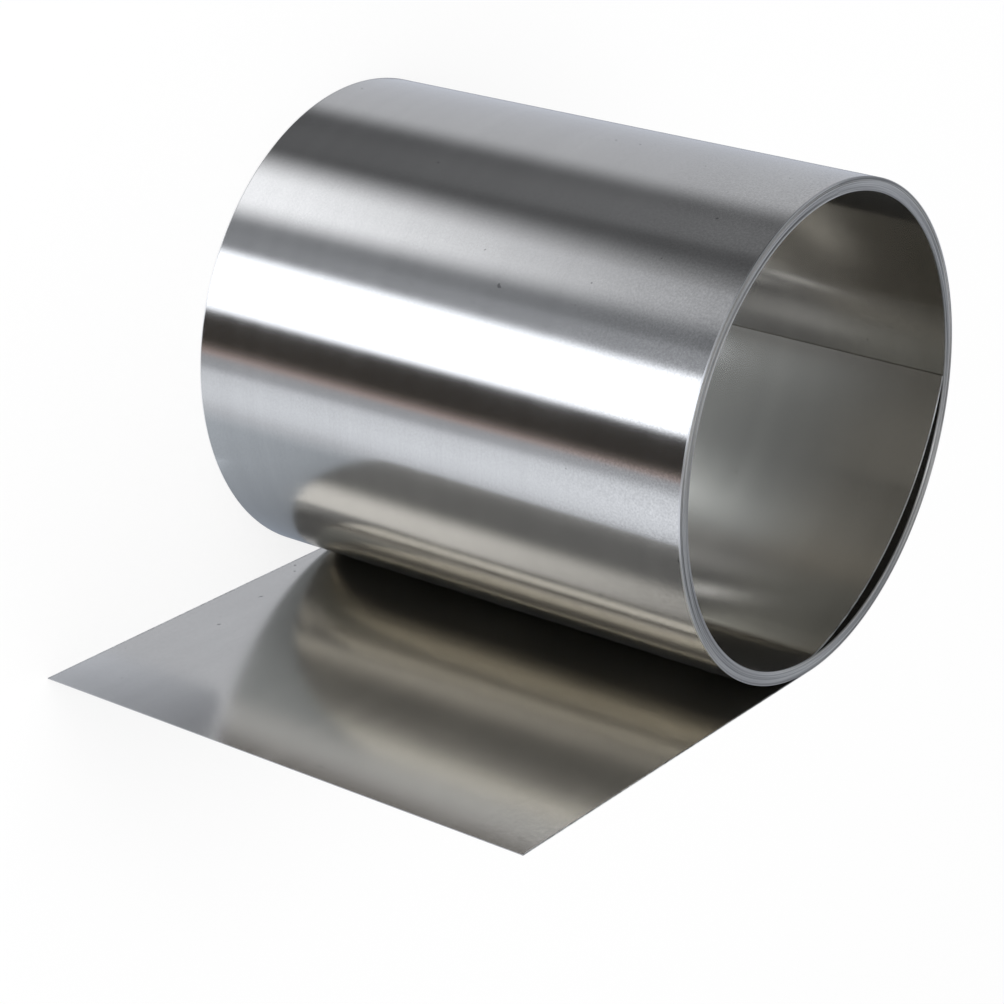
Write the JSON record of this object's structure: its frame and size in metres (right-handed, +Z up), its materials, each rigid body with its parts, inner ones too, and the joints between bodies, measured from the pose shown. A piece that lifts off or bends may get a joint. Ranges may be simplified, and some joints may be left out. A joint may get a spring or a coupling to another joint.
{
  "type": "stainless steel foil roll",
  "caption": "Coil of thin stainless steel strip standing on its end, open bore, outer end drawn out as a straight tail.",
  "frame": {"origin": "centre of the box that the part fills, on the floor under it", "axes": "+Z up, along the axis of the coil; the tail runs towards -Y from the coil's +X side"},
  "size_m": [0.087, 0.127, 0.1],
  "materials": {
    "stainless_foil": "satin cold-rolled stainless steel with a fine grain along the strip"
  },
  "bodies": {
    "root": {"wound_foil": "stainless_foil"}
  },
  "joints": []
}
